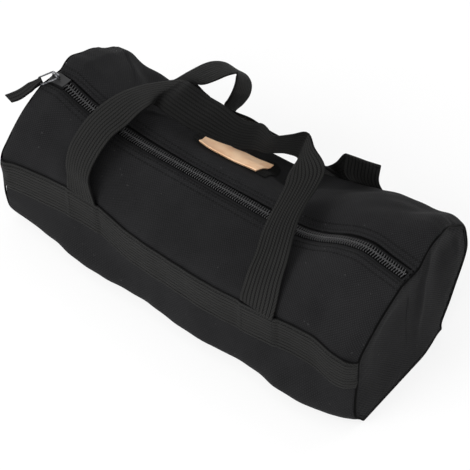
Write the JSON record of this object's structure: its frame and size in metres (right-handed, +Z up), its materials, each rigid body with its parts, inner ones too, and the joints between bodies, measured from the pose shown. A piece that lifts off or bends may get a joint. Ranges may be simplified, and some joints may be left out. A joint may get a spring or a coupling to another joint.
{
  "type": "zippered tool bag",
  "caption": "Soft canvas duffel on a flat base with closed ends, a coil zip along the top, webbing bands round the sides and webbing carry handles.",
  "frame": {"origin": "middle of the base panel's underside, on the surface the bag stands on", "axes": "+X along the bag from the slider to the far end of the zip, +Y towards the side with the leather label, +Z up"},
  "size_m": [0.4472, 0.197, 0.1963],
  "materials": {
    "canvas": "black cotton canvas, plain weave, matt",
    "webbing": "black webbing with fine lengthwise ribs",
    "tape": "black woven tape, matt",
    "coil": "black coiled filament, slightly glossy",
    "metal": "dark gunmetal plate",
    "leather": "natural tan, smooth, with a darker cut edge"
  },
  "bodies": {
    "shell": {"base_panel": "canvas", "left_end_panel": "canvas", "right_end_panel": "canvas", "left_seam_binding": "tape", "right_seam_binding": "tape"},
    "front_side": {"front_lower_panel": "canvas", "front_flap": "canvas", "front_band": "webbing", "front_zip_tape": "tape", "front_zip_coil": "coil"},
    "rear_side": {"rear_lower_panel": "canvas", "rear_flap": "canvas", "rear_band": "webbing", "rear_zip_tape": "tape", "rear_zip_coil": "coil", "label_backing": "webbing", "leather_label": "leather"},
    "slider": {"zip_slider": "metal"},
    "pull": {"pull_link": "metal", "pull_tab": "webbing"},
    "front_handle": {"front_handle": "webbing"},
    "rear_handle": {"rear_handle": "webbing"}
  },
  "joints": [
    {"name": "zip_slide", "type": "slide", "parent": "shell", "child": "slider", "axis": [0.9999, 0, -0.0151], "range_m": [0, 0.395], "deforming": ["front_zip_tape", "rear_zip_tape", "front_zip_coil", "rear_zip_coil", "pull_tab"]},
    {"name": "pull_swing", "type": "hinge", "parent": "slider", "child": "pull", "pos_m": [-0.2075, 0, 0.14154], "axis": [-0.866, 0.5, 0], "range_deg": [0, 120]},
    {"name": "front_side_open", "type": "hinge", "parent": "shell", "child": "front_side", "pos_m": [0, -0.064, 0.0012], "axis": [1, 0, 0], "range_deg": [0, 15.1]},
    {"name": "rear_side_open", "type": "hinge", "parent": "shell", "child": "rear_side", "pos_m": [0, 0.066, 0.0012], "axis": [-1, 0, 0], "range_deg": [0, 15.1]},
    {"name": "front_handle_swing", "type": "hinge", "parent": "front_side", "child": "front_handle", "pos_m": [0, -0.0789, 0.0884], "axis": [0.9987, -0.0513, 0], "range_deg": [0, 150]},
    {"name": "rear_handle_swing", "type": "hinge", "parent": "rear_side", "child": "rear_handle", "pos_m": [0, 0.0983, 0.088], "axis": [-1, 0, 0], "range_deg": [0, 150]}
  ],
  "couplings": [
    {"joint": "front_side_open", "follows": "zip_slide", "rad_per_m": 0.6628},
    {"joint": "rear_side_open", "follows": "zip_slide", "rad_per_m": 0.6628}
  ]
}
